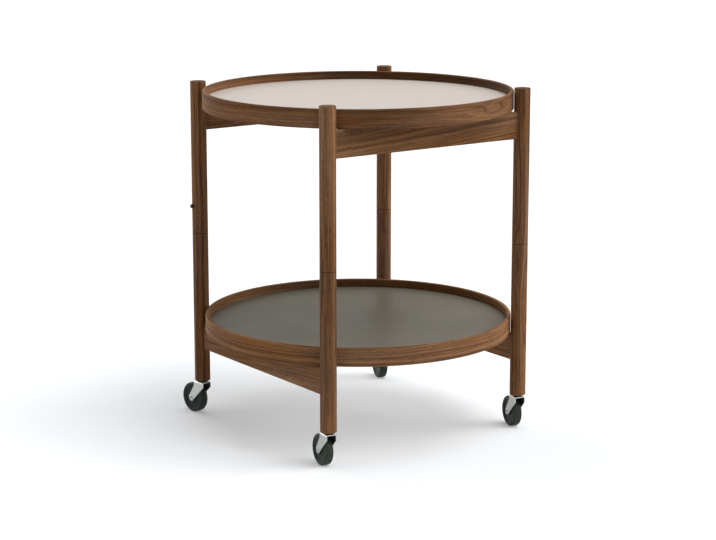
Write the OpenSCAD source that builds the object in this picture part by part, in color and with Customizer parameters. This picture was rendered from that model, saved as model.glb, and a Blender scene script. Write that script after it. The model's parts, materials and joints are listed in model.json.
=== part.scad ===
// Folding round tray trolley: four split posts, four rails, two loose round trays,
// four swivel casters. Millimetres, Z up, floor at Z = 0, origin under the middle.
// The frame is four H-shaped panels. The upper rails run along X and the lower rails
// along Y, and the upper and lower halves of each post turn about a steel pivot pin.

/* [Trays] */
// Outer diameter of a tray
tray_d = 500; // [400:5:620]
// Height of the bent wood rim
rim_h = 30; // [24:1:50]
// Wall of the rim
rim_t = 6; // [5:0.5:10]
// Rounding of the rim's four edges
rim_edge_r = 2; // [0.5:0.1:2.2]
// Depth of the groove that holds the board
groove_depth = 3; // [1.5:0.1:3.5]
// Thickness of the board's core
core_t = 1.4; // [1:0.1:5]
// Thickness of the laminate on each face of the board
laminate_t = 0.5; // [0.3:0.1:1]
// Gap round the laminate, inside the rim
laminate_gap = 0.3; // [0.1:0.1:1]
// Gap between a tray and each post
tray_gap = 1.5; // [1:0.1:4]

/* [Posts] */
// Diameter of a post
post_d = 25.75; // [22:0.25:36]
// Length of a lower half post
lower_post_len = 251.6; // [230:0.2:320]
// Length of an upper half post
upper_post_len = 250.4; // [200:0.2:320]
// How far a post stands above the upper tray's rim
post_rise = 7; // [4:0.5:20]
// Rounding of a post's top edge
post_top_r = 1; // [0.5:0.1:3]
// Rounding of a post's bottom edge
post_foot_r = 1.4; // [0.5:0.1:3]
// Rounding of the two edges at the turning joint
joint_edge_r = 0.5; // [0.2:0.1:1]

/* [Rails] */
// Thickness of a rail
rail_t = 7; // [6:0.5:12]
// Height of a rail
rail_h = 43.5; // [30:0.5:60]
// Rounding of a rail's long edges
rail_edge_r = 0.9; // [0.3:0.1:2]
// Depth of the mortise that holds a rail's end in its post
mortise_depth = 9; // [6:0.5:10]
// Top of the lower rails above the feet of the posts
lower_shelf_rise = 99.3; // [90:0.1:140]

/* [Turning joints] */
// Diameter of a pivot pin
pivot_d = 10; // [8:0.5:12]
// Length of a pivot pin in the lower half post
pivot_down = 45; // [30:1:60]
// Length of a pivot pin above the lock pin
pivot_past_lock = 9; // [6:1:20]
// Diameter of the washer between two half posts
washer_d = 22; // [16:0.5:22]
// Thickness of that washer
washer_t = 0.6; // [0.4:0.1:2]
// Chamfer on the ends of a pivot pin
pivot_chamfer = 1; // [0.3:0.1:2]

/* [Lock pin] */
// Diameter of the lock pin's shank
lock_d = 4; // [3:0.25:5]
// Height of the lock pin above the washer
lock_rise = 45; // [30:0.5:60]
// Diameter of the lock pin's head
lock_head_d = 6.6; // [5:0.2:10]
// Length of the lock pin's head
lock_head_len = 4.6; // [3:0.2:8]
// Length of the shank past the pivot pin
lock_past_pivot = 2; // [1:0.5:3]
// Radial play of the lock pin in the pivot pin's cross hole
lock_bore_play = 0.3; // [0.1:0.05:0.5]

/* [Casters] */
// Diameter of a wheel
wheel_d = 50; // [40:1:75]
// Width of a wheel's tread
wheel_w = 14; // [10:1:22]
// Thickness of the tyre
tyre_t = 5; // [3:0.5:7]
// Rounding of the tyre's shoulders
shoulder_r = 2.5; // [1:0.5:4.5]
// Distance of the axle behind the swivel axis
trail = 20; // [17:0.5:32]
// Gap between the wheel and the fork's top plate
wheel_clearance = 3.9; // [3:0.1:10]
// Play between the hub and each fork arm
hub_play = 0.2; // [0.1:0.05:0.5]
// How far the tread lies inside the hub's ends
tread_inset = 0.2; // [0.1:0.1:1]
// Wall of the hub's bored boss
hub_boss_t = 4; // [2:0.5:6]
// Depth of the hub's recess on each side
hub_recess = 1; // [0.5:0.25:3]
// Thickness of the hub's outer rim
hub_rim_t = 2.5; // [1.5:0.1:4]
// Thickness of the fork's sheet
sheet_t = 1.6; // [1.2:0.1:2.5]
// Inner radius of the fork's two bends
bend_inner_r = 1.2; // [0.6:0.1:1.5]
// Fork ahead of the swivel axis
fork_front = 10.5; // [9:0.5:16]
// Fork behind the swivel axis, at its top
fork_back = 12.8; // [10:0.2:16]
// Straight part of the arms' front edge
arm_front_drop = 9; // [6:0.5:14]
// Straight part of the arms' back edge
arm_back_drop = 8; // [6:0.5:12]
// Radius of an arm's end
arm_tip_r = 6; // [5:0.5:8]
// Diameter of the wheel's axle
axle_d = 6; // [5:0.5:8]
// Diameter of the axle's riveted heads
axle_head_d = 8; // [7:0.5:10]
// Thickness of the axle's riveted heads
axle_head_t = 0.9; // [0.5:0.1:2]
// Diameter of the stem
stem_d = 8; // [7:0.5:9.5]
// Length of the stem in its socket
stem_len = 36; // [25:1:40]
// Diameter of the socket
socket_d = 11; // [10.5:0.5:13]
// Diameter of the socket's flange
flange_d = 19; // [15:0.5:21]
// Thickness of the socket's flange
flange_t = 1; // [0.8:0.1:2]
// Diameter of the swivel race
race_d = 15; // [12:0.5:20]
// Thickness of the swivel race
race_t = 1.3; // [1:0.1:4]
// Thickness of the stem's riveted head
stem_head_t = 1.6; // [1:0.1:2]
// Heading of the front left caster's wheel, from +X
front_left_heading = 81.5; // [-180:0.5:180]
// Heading of the front right caster's wheel, from +X
front_right_heading = 75.6; // [-180:0.1:180]
// Heading of the back right caster's wheel, from +X
back_right_heading = 73; // [-180:0.5:180]
// Heading of the back left caster's wheel, from +X
back_left_heading = 99; // [-180:0.5:180]

/* [Fits] */
// Clearance of a glued or pressed piece in its seat
seat_fit = 0.05; // [0.02:0.01:0.1]
// Radial clearance of a pin or shaft that turns or slides
running_fit = 0.06; // [0.03:0.01:0.1]
// End play under a turning or sliding piece
end_play = 0.1; // [0.05:0.05:0.3]
// Free depth past the end of a pin in a blind hole
blind_rest = 1; // [0.5:0.1:3]

/* [Hidden] */
$fn = 96;
post_r = post_d / 2;
wheel_r = wheel_d / 2;

// Casters, measured down from the feet of the posts
fork_top_drop = flange_t + race_t + end_play;
fork_plate_drop = fork_top_drop + sheet_t;
axle_drop = fork_plate_drop + wheel_clearance + wheel_r;
hub_w = wheel_w + 2 * tread_inset;
fork_inner_w = hub_w + 2 * hub_play;
fork_w = fork_inner_w + 2 * sheet_t;
bend_r = sheet_t + bend_inner_r;
tyre_inner_r = wheel_r - tyre_t;
stem_head_r = fork_inner_w / 2 - bend_inner_r;

// Heights above the floor
foot_z = wheel_r + axle_drop;
joint_z = foot_z + lower_post_len;
upper_z = joint_z + washer_t;
post_top_z = upper_z + upper_post_len;
upper_rim_top_z = post_top_z - post_rise;
upper_rail_top_z = upper_rim_top_z - rim_h;
lower_rail_top_z = foot_z + lower_shelf_rise;
lock_z = upper_z + lock_rise;
pivot_up = lock_rise + pivot_past_lock;

// How far the lock pin reaches past the post's axis
lock_reach = pivot_d / 2 + lock_past_pivot;

// Plan: the trays touch all four posts but for the gap
post_reach = tray_d / 2 + tray_gap + post_r;
half_span = post_reach / sqrt(2);
rail_len = 2 * (half_span - post_r + mortise_depth) - 2 * seat_fit;

// Board and rim
rim_r = tray_d / 2;
rim_inner_r = rim_r - rim_t;

// Corners of the frame, as signs of X and Y
FRONT_LEFT = [-1, -1];
FRONT_RIGHT = [1, -1];
BACK_RIGHT = [1, 1];
BACK_LEFT = [-1, 1];

WALNUT = "#6b4a33";
PALE = "#c9beb5";
DARK = "#6b6863";
CORE = "#b99a70";
ZINC = "#c4c6c2";
STEEL = "#a9adb0";
BLACK = "#202322";
PEG = "#38291d";

// ---- Shared shapes ----

// Half section of a turned solid: a rectangle with its two outer corners rounded.
module turned_section(r, len, low_r, high_r) {
    translate([0, low_r])
        square([r, len - low_r - high_r]);
    square([r - low_r, len - high_r]);
    translate([0, low_r])
        square([r - high_r, len - low_r]);
    translate([r - low_r, low_r])
        intersection() {
            circle(r = low_r);
            translate([0, -low_r])
                square(low_r);
        }
    translate([r - high_r, len - high_r])
        intersection() {
            circle(r = high_r);
            square(high_r);
        }
}

// Rectangle with four rounded corners, centred.
module round_rect(w, h, r) {
    square([w - 2 * r, h], center = true);
    square([w, h - 2 * r], center = true);
    for (sx = [-1, 1], sy = [-1, 1])
        translate([sx * (w / 2 - r), sy * (h / 2 - r)])
            circle(r = r, $fn = 48);
}

// Pin with a chamfer at both ends, from z = 0 up.
module chamfered_pin(r, len, chamfer) {
    rotate_extrude()
        polygon([
            [0, 0], [r - chamfer, 0], [r, chamfer],
            [r, len - chamfer], [r - chamfer, len], [0, len]
        ]);
}

// Puts a piece on the axis of one corner's post.
module at_corner(corner) {
    translate([corner.x * half_span, corner.y * half_span, 0])
        children();
}

// Blind hole along +Z from the origin, with a little cleared below its mouth.
module blind_hole(r, depth) {
    translate([0, 0, -1])
        cylinder(r = r, h = depth + 1);
}

// Pocket in a post for a rail's end, from the post's axis outwards along +X.
module mortise(top_z) {
    depth_from_axis = post_r - mortise_depth;
    translate([depth_from_axis, -rail_t / 2 - seat_fit, top_z - rail_h - seat_fit])
        cube([post_r, rail_t + 2 * seat_fit, rail_h + 2 * seat_fit]);
}

// ---- Posts ----

// Lower half post. rail_turn is the way its rail leaves it, from +X.
module lower_post(corner, rail_turn) {
    color(WALNUT)
        at_corner(corner)
            difference() {
                translate([0, 0, foot_z])
                    rotate_extrude()
                        turned_section(post_r, lower_post_len, post_foot_r, joint_edge_r);
                rotate([0, 0, rail_turn])
                    mortise(lower_rail_top_z);
                translate([0, 0, foot_z])
                    blind_hole(socket_d / 2 + seat_fit, stem_len + 2 * blind_rest);
                translate([0, 0, joint_z - pivot_down - blind_rest])
                    cylinder(r = pivot_d / 2 + seat_fit, h = pivot_down + blind_rest + 1);
            }
}

// Upper half post, with a bore that turns on the pivot pin.
module upper_post(corner, rail_turn) {
    color(WALNUT)
        at_corner(corner)
            difference() {
                translate([0, 0, upper_z])
                    rotate_extrude()
                        turned_section(post_r, upper_post_len, joint_edge_r, post_top_r);
                rotate([0, 0, rail_turn])
                    mortise(upper_rail_top_z);
                translate([0, 0, upper_z])
                    blind_hole(pivot_d / 2 + running_fit, pivot_up + blind_rest);
            }
}

// The back left upper half post is also bored for the lock pin.
module locking_upper_post() {
    color(WALNUT)
        difference() {
            upper_post(BACK_LEFT, 0);
            at_corner(BACK_LEFT)
                translate([-post_r - 1, 0, lock_z])
                    rotate([0, 90, 0])
                        cylinder(r = lock_d / 2 + running_fit, h = 1 + post_r + lock_reach + blind_rest);
        }
}

// ---- Rails ----

// Rail along X, centred, with its top at top_z.
module rail(top_z) {
    color(WALNUT)
        translate([-rail_len / 2, 0, top_z - rail_h / 2])
            rotate([90, 0, 90])
                linear_extrude(rail_len)
                    round_rect(rail_t, rail_h, rail_edge_r);
}

module front_upper_rail() {
    translate([0, -half_span, 0])
        rail(upper_rail_top_z);
}

module back_upper_rail() {
    translate([0, half_span, 0])
        rail(upper_rail_top_z);
}

module left_lower_rail() {
    translate([-half_span, 0, 0])
        rotate([0, 0, 90])
            rail(lower_rail_top_z);
}

module right_lower_rail() {
    translate([half_span, 0, 0])
        rotate([0, 0, 90])
            rail(lower_rail_top_z);
}

// ---- Turning joints ----

// Steel pin, fast in the lower half post.
module pivot(corner) {
    color(STEEL)
        at_corner(corner)
            translate([0, 0, joint_z - pivot_down])
                chamfered_pin(pivot_d / 2, pivot_down + washer_t + pivot_up, pivot_chamfer);
}

// The back left pivot pin has a cross hole for the lock pin.
module locked_pivot() {
    color(STEEL)
        difference() {
            pivot(BACK_LEFT);
            at_corner(BACK_LEFT)
                translate([-pivot_d, 0, lock_z])
                    rotate([0, 90, 0])
                        cylinder(r = lock_d / 2 + lock_bore_play, h = 2 * pivot_d);
        }
}

// Thin dark washer, a little smaller than the posts.
module washer(corner) {
    color(BLACK)
        at_corner(corner)
            translate([0, 0, joint_z])
                difference() {
                    cylinder(r = washer_d / 2, h = washer_t);
                    translate([0, 0, -1])
                        cylinder(r = pivot_d / 2 + seat_fit, h = washer_t + 2);
                }
}

// Turned pull pin: shank, neck and a domed head outside the post, along -X.
module lock_pin() {
    dome_r = lock_head_d / 2;
    neck_len = 1.2;
    shank_len = post_r + lock_reach + seat_fit;
    color(PEG)
        at_corner(BACK_LEFT)
            translate([lock_reach, 0, lock_z])
                rotate([0, -90, 0])
                    rotate_extrude() {
                        square([lock_d / 2, shank_len + neck_len]);
                        translate([0, shank_len])
                            turned_section(dome_r, lock_head_len, 0.5, 1.8);
                    }
}

// ---- Trays ----

// Bent wood band with rounded edges and a groove at mid height.
module rim(bottom_z) {
    groove_h = core_t + 2 * seat_fit;
    color(WALNUT)
        translate([0, 0, bottom_z])
            rotate_extrude($fn = 180)
                difference() {
                    translate([rim_r - rim_t / 2, rim_h / 2])
                        round_rect(rim_t, rim_h, rim_edge_r);
                    translate([rim_inner_r - 1, (rim_h - groove_h) / 2])
                        square([groove_depth + 1, groove_h]);
                }
}

// Core of the board, held in the rim's groove.
module core(bottom_z) {
    color(CORE)
        translate([0, 0, bottom_z + (rim_h - core_t) / 2])
            cylinder(r = rim_inner_r + groove_depth - seat_fit, h = core_t, $fn = 180);
}

// Laminate sheet. side is 1 on the upper face of the board and -1 on the lower one.
module laminate(bottom_z, side, tint) {
    middle = bottom_z + rim_h / 2;
    low = side > 0 ? middle + core_t / 2 : middle - core_t / 2 - laminate_t;
    color(tint)
        translate([0, 0, low])
            cylinder(r = rim_inner_r - laminate_gap, h = laminate_t, $fn = 180);
}

// ---- Casters ----

// Puts a caster's piece under its post, turned so that the wheel trails along local +X.
// Local z = 0 is the foot of the post.
module caster_frame(corner, heading) {
    at_corner(corner)
        translate([0, 0, foot_z])
            rotate([0, 0, heading])
                children();
}

// Sleeve in the post with a flange under its foot.
module socket(corner) {
    color(BLACK)
        caster_frame(corner, 0)
            difference() {
                union() {
                    cylinder(r = socket_d / 2, h = stem_len + blind_rest);
                    translate([0, 0, -flange_t])
                        cylinder(r = flange_d / 2, h = flange_t);
                }
                translate([0, 0, -flange_t - 1])
                    cylinder(r = stem_d / 2 + seat_fit, h = stem_len + flange_t + 1 + seat_fit);
            }
}

// Stem with a chamfered tip and a riveted head under the fork's top plate.
module stem(corner) {
    head_top = -fork_plate_drop - end_play;
    color(STEEL)
        caster_frame(corner, 0)
            rotate_extrude()
                polygon([
                    [0, head_top - stem_head_t],
                    [stem_head_r - stem_head_t / 2, head_top - stem_head_t],
                    [stem_head_r, head_top - stem_head_t / 2],
                    [stem_head_r, head_top],
                    [stem_d / 2, head_top],
                    [stem_d / 2, stem_len - 1],
                    [stem_d / 2 - 1, stem_len],
                    [0, stem_len]
                ]);
}

// Swivel race between the flange and the fork, cupped inwards at the top.
module race(corner) {
    race_r = race_d / 2;
    color(BLACK)
        caster_frame(corner, 0)
            translate([0, 0, -flange_t - race_t])
                rotate_extrude()
                    polygon([
                        [stem_d / 2 + seat_fit, 0],
                        [race_r, 0],
                        [race_r, race_t * 0.6],
                        [race_r - race_t * 0.4, race_t],
                        [stem_d / 2 + seat_fit, race_t]
                    ]);
}

// Where a line from point p touches the circle round c. side picks the left or right one.
function touch_point(p, c, r, side) =
    let (
        d = norm(c - p),
        to_p = atan2(p.y - c.y, p.x - c.x),
        open = acos(r / d),
        a = to_p + side * open
    )
    c + r * [cos(a), sin(a)];

// Solid block with the fork's side outline, fork_w thick.
module fork_block() {
    top = -fork_top_drop;
    tip = [trail, -axle_drop];
    front_knee = [-fork_front, top - arm_front_drop];
    back_knee = [fork_back, top - arm_back_drop];
    edge_inset = 0.1;
    translate([0, fork_w / 2, 0])
        rotate([90, 0, 0])
            linear_extrude(fork_w)
                polygon([
                    [-fork_front, top],
                    [fork_back, top],
                    back_knee,
                    touch_point(back_knee, tip, arm_tip_r - edge_inset, -1),
                    touch_point(front_knee, tip, arm_tip_r - edge_inset, 1),
                    front_knee
                ]);
    translate([tip.x, 0, tip.y])
        rotate([90, 0, 0])
            cylinder(r = arm_tip_r, h = fork_w, center = true);
}

// Space inside the bent sheet, along local x, with the sheet's inner bend radius.
module fork_inside() {
    depth = axle_drop + arm_tip_r + 1 - fork_plate_drop;
    translate([-2 * fork_front, -fork_inner_w / 2, -fork_plate_drop - depth]) {
        cube([4 * trail, fork_inner_w, depth - bend_inner_r]);
        translate([0, bend_inner_r, 0])
            cube([4 * trail, fork_inner_w - 2 * bend_inner_r, depth]);
    }
    for (s = [-1, 1])
        translate([-2 * fork_front, s * (fork_inner_w / 2 - bend_inner_r), -fork_plate_drop - bend_inner_r])
            rotate([0, 90, 0])
                cylinder(r = bend_inner_r, h = 4 * trail);
}

// Material outside one outer bend, on the +y or -y side.
module outside_bend(s) {
    translate([-2 * fork_front, s * (fork_w / 2 - bend_r), -fork_top_drop - bend_r])
        rotate([0, 90, 0])
            difference() {
                translate([-bend_r - 1, s > 0 ? 0 : -bend_r - 1, 0])
                    cube([bend_r + 1, bend_r + 1, 4 * trail]);
                translate([0, 0, -1])
                    cylinder(r = bend_r, h = 4 * trail + 2);
            }
}

// Pressed zinc-plated fork: a block of the side outline, hollowed and bent over its top.
module fork(corner, heading) {
    color(ZINC)
        caster_frame(corner, heading)
            difference() {
                fork_block();
                fork_inside();
                outside_bend(1);
                outside_bend(-1);
                translate([0, 0, -fork_plate_drop - 1])
                    cylinder(r = stem_d / 2 + running_fit, h = sheet_t + 2);
                translate([trail, fork_w, -axle_drop])
                    rotate([90, 0, 0])
                        cylinder(r = axle_d / 2 + seat_fit, h = 2 * fork_w);
            }
}

// Riveted axle with a head outside each arm.
module axle(corner, heading) {
    color(STEEL)
        caster_frame(corner, heading)
            translate([trail, 0, -axle_drop])
                rotate([90, 0, 0]) {
                    cylinder(r = axle_d / 2, h = fork_w + 2 * axle_head_t, center = true);
                    for (s = [-1, 1])
                        mirror([0, 0, s > 0 ? 0 : 1])
                            translate([0, 0, fork_w / 2])
                                rotate_extrude()
                                    turned_section(axle_head_d / 2, axle_head_t, 0.1, axle_head_t / 2);
                }
}

// Moulded hub: bored boss, web and a rim that carries the tyre.
module hub(corner, heading) {
    rim_w = wheel_w - 1;
    color(BLACK)
        caster_frame(corner, heading)
            translate([trail, 0, -axle_drop])
                rotate([90, 0, 0])
                    difference() {
                        union() {
                            cylinder(r = axle_d / 2 + hub_boss_t, h = hub_w, center = true);
                            cylinder(r = tyre_inner_r - seat_fit, h = rim_w - 2 * hub_recess, center = true);
                            difference() {
                                cylinder(r = tyre_inner_r - seat_fit, h = rim_w, center = true);
                                cylinder(r = tyre_inner_r - hub_rim_t, h = rim_w + 1, center = true);
                            }
                        }
                        cylinder(r = axle_d / 2 + running_fit, h = hub_w + 1, center = true);
                    }
}

// Tyre with rounded shoulders.
module tyre(corner, heading) {
    color("#2a2d2c")
        caster_frame(corner, heading)
            translate([trail, 0, -axle_drop])
                rotate([90, 0, 0])
                    translate([0, 0, -wheel_w / 2])
                        rotate_extrude()
                            difference() {
                                turned_section(wheel_r, wheel_w, shoulder_r, shoulder_r);
                                translate([0, -1])
                                    square([tyre_inner_r, wheel_w + 2]);
                            }
}

// ---- Nodes ----

lower_post(FRONT_LEFT, 90);  // front_left_lower_post
lower_post(FRONT_RIGHT, 90);  // front_right_lower_post
lower_post(BACK_RIGHT, -90);  // back_right_lower_post
lower_post(BACK_LEFT, -90);  // back_left_lower_post
upper_post(FRONT_LEFT, 0);  // front_left_upper_post
upper_post(FRONT_RIGHT, 180);  // front_right_upper_post
upper_post(BACK_RIGHT, 180);  // back_right_upper_post
locking_upper_post();  // back_left_upper_post

front_upper_rail();
back_upper_rail();
left_lower_rail();
right_lower_rail();

pivot(FRONT_LEFT);  // front_left_pivot
pivot(FRONT_RIGHT);  // front_right_pivot
pivot(BACK_RIGHT);  // back_right_pivot
locked_pivot();  // back_left_pivot
washer(FRONT_LEFT);  // front_left_washer
washer(FRONT_RIGHT);  // front_right_washer
washer(BACK_RIGHT);  // back_right_washer
washer(BACK_LEFT);  // back_left_washer
lock_pin();

rim(upper_rail_top_z);  // upper_rim
core(upper_rail_top_z);  // upper_core
laminate(upper_rail_top_z, 1, PALE);  // upper_top_laminate
laminate(upper_rail_top_z, -1, DARK);  // upper_bottom_laminate
rim(lower_rail_top_z);  // lower_rim
core(lower_rail_top_z);  // lower_core
laminate(lower_rail_top_z, 1, DARK);  // lower_top_laminate
laminate(lower_rail_top_z, -1, PALE);  // lower_bottom_laminate

socket(FRONT_LEFT);  // front_left_socket
socket(FRONT_RIGHT);  // front_right_socket
socket(BACK_RIGHT);  // back_right_socket
socket(BACK_LEFT);  // back_left_socket
stem(FRONT_LEFT);  // front_left_stem
stem(FRONT_RIGHT);  // front_right_stem
stem(BACK_RIGHT);  // back_right_stem
stem(BACK_LEFT);  // back_left_stem
race(FRONT_LEFT);  // front_left_race
race(FRONT_RIGHT);  // front_right_race
race(BACK_RIGHT);  // back_right_race
race(BACK_LEFT);  // back_left_race

fork(FRONT_LEFT, front_left_heading);  // front_left_fork
fork(FRONT_RIGHT, front_right_heading);  // front_right_fork
fork(BACK_RIGHT, back_right_heading);  // back_right_fork
fork(BACK_LEFT, back_left_heading);  // back_left_fork
axle(FRONT_LEFT, front_left_heading);  // front_left_axle
axle(FRONT_RIGHT, front_right_heading);  // front_right_axle
axle(BACK_RIGHT, back_right_heading);  // back_right_axle
axle(BACK_LEFT, back_left_heading);  // back_left_axle
hub(FRONT_LEFT, front_left_heading);  // front_left_hub
hub(FRONT_RIGHT, front_right_heading);  // front_right_hub
hub(BACK_RIGHT, back_right_heading);  // back_right_hub
hub(BACK_LEFT, back_left_heading);  // back_left_hub
tyre(FRONT_LEFT, front_left_heading);  // front_left_tyre
tyre(FRONT_RIGHT, front_right_heading);  // front_right_tyre
tyre(BACK_RIGHT, back_right_heading);  // back_right_tyre
tyre(BACK_LEFT, back_left_heading);  // back_left_tyre
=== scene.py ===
"""Looks of a folding tray trolley in oiled walnut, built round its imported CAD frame.

Everything is in metres in the frame's own axes: Z up, floor at Z = 0. Sizes are written
in millimetres, as a maker would, and places come from the CAD nodes' boxes.
"""

import json
import logging
import math
import random
from dataclasses import dataclass
from enum import Enum
from typing import Any, Optional, Protocol, Union

import bmesh
import bpy
from bmesh.types import BMesh, BMFace
from mathutils import Matrix, Vector

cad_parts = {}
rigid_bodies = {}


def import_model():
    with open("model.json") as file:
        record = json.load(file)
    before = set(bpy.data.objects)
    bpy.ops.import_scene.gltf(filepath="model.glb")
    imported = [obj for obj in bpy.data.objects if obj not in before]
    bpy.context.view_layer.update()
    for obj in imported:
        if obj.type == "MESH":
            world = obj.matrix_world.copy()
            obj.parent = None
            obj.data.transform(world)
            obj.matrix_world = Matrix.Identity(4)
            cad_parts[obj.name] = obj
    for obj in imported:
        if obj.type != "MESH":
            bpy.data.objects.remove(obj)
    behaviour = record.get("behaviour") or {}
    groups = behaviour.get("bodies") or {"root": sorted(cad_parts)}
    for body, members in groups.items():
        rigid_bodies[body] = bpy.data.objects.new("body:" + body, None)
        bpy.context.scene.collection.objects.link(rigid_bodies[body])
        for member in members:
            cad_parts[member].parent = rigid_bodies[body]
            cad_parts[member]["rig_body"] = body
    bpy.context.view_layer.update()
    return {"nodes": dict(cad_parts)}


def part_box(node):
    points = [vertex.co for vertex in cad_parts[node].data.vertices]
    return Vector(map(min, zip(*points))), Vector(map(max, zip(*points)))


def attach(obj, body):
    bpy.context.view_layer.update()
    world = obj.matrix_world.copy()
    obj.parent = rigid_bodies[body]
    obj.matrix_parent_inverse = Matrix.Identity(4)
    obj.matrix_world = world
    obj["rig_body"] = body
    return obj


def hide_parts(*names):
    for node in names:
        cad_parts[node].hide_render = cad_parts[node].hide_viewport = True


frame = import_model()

MM = 0.001
SHARP_ANGLE = math.radians(32)
TURN_STEPS = 96
RIM_STEPS = 240
END_GRAIN = 0.8  # how squarely a face must cross the fibres to count as end grain
STRAIGHT_IN = 0.97  # how squarely a rim's face must look inwards to count as its inner side
ON_AXIS = 1e-9
SAME_POINT = 1e-7
CAD_WELD = 1e-6
NOISE_MIDDLE = 0.5
NOISE_LOW, NOISE_HIGH = 0.3, 0.7  # a noise pattern hardly ever leaves this range
LOG_LENGTH = 3.0

log = logging.getLogger("trolley")

ProfilePoint = tuple[float, float, float]


# ---- options


class Corner(Enum):
    """One of the four legs, with the name its CAD nodes start with."""

    FRONT_LEFT = "front_left"
    FRONT_RIGHT = "front_right"
    BACK_RIGHT = "back_right"
    BACK_LEFT = "back_left"


class Sheet(Enum):
    """The laminate on one face of a board, with its slot in the record."""

    PALE = "pale_laminate"
    DARK = "dark_laminate"


class Tier(Enum):
    """One of the two trays, with the name its CAD nodes start with."""

    UPPER = "upper"
    LOWER = "lower"


# ---- colour and nodes


def linear(hex_colour: str) -> tuple[float, float, float, float]:
    """Turns an sRGB hex colour to linear.

    Args:
        hex_colour: such as "#6b4a33".

    Returns:
        Linear red, green and blue, and an alpha of 1.
    """
    parts = [int(hex_colour[i:i + 2], 16) / 255 for i in (1, 3, 5)]
    red, green, blue = [p / 12.92 if p <= 0.04045 else ((p + 0.055) / 1.055) ** 2.4 for p in parts]
    return red, green, blue, 1.0


def cells(size_mm: float) -> float:
    """How many cells of a pattern fit in a metre, when each is size_mm wide."""
    return 1 / (size_mm * MM)


def stretch(along_mm: float, across_mm: float) -> tuple[float, float, float]:
    """Scales for a pattern that is along_mm long in the first axis and across_mm in the others."""
    return cells(along_mm), cells(across_mm), cells(across_mm)


def add_node(
    tree: bpy.types.NodeTree,
    kind: str,
    inputs: Optional[dict[Union[str, int], Any]] = None,
    **settings: Any,
) -> bpy.types.Node:
    """Adds a node with its settings and links.

    Args:
        tree: the tree that gets the node.
        kind: the node's class, such as "ShaderNodeMath".
        inputs: for each input socket, a value, or another node's output to link to it.
        **settings: the node's own properties. stops is a colour ramp's list of places and
            colours.

    Returns:
        The new node.
    """
    node = tree.nodes.new(kind)
    stops = settings.pop("stops", None)
    for name, value in settings.items():
        setattr(node, name, value)
    if stops:
        elements = node.color_ramp.elements
        while len(elements) < len(stops):
            elements.new(1.0)
        for element, (place, colour) in zip(elements, stops):
            element.position = place
            element.color = linear(colour)
    for key, value in (inputs or {}).items():
        if isinstance(value, bpy.types.NodeSocket):
            tree.links.new(value, node.inputs[key])
        else:
            node.inputs[key].default_value = value
    return node


# ---- finishes


class Finish(Protocol):
    """What every finish offers."""

    name: str

    def shade(self, tree: bpy.types.NodeTree) -> bpy.types.Node:
        """Builds the finish's nodes and returns its shader."""


def material_of(finish: Finish) -> bpy.types.Material:
    """Gives a finish's material, and makes it the first time.

    Args:
        finish: the finish.

    Returns:
        Its Blender material, named for the finish.
    """
    known = bpy.data.materials.get(finish.name)
    if known:
        return known
    made = bpy.data.materials.new(finish.name)
    made.use_nodes = True
    made.node_tree.nodes.clear()
    shader = finish.shade(made.node_tree)
    add_node(made.node_tree, "ShaderNodeOutputMaterial", {"Surface": shader.outputs[0]})
    return made


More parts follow.
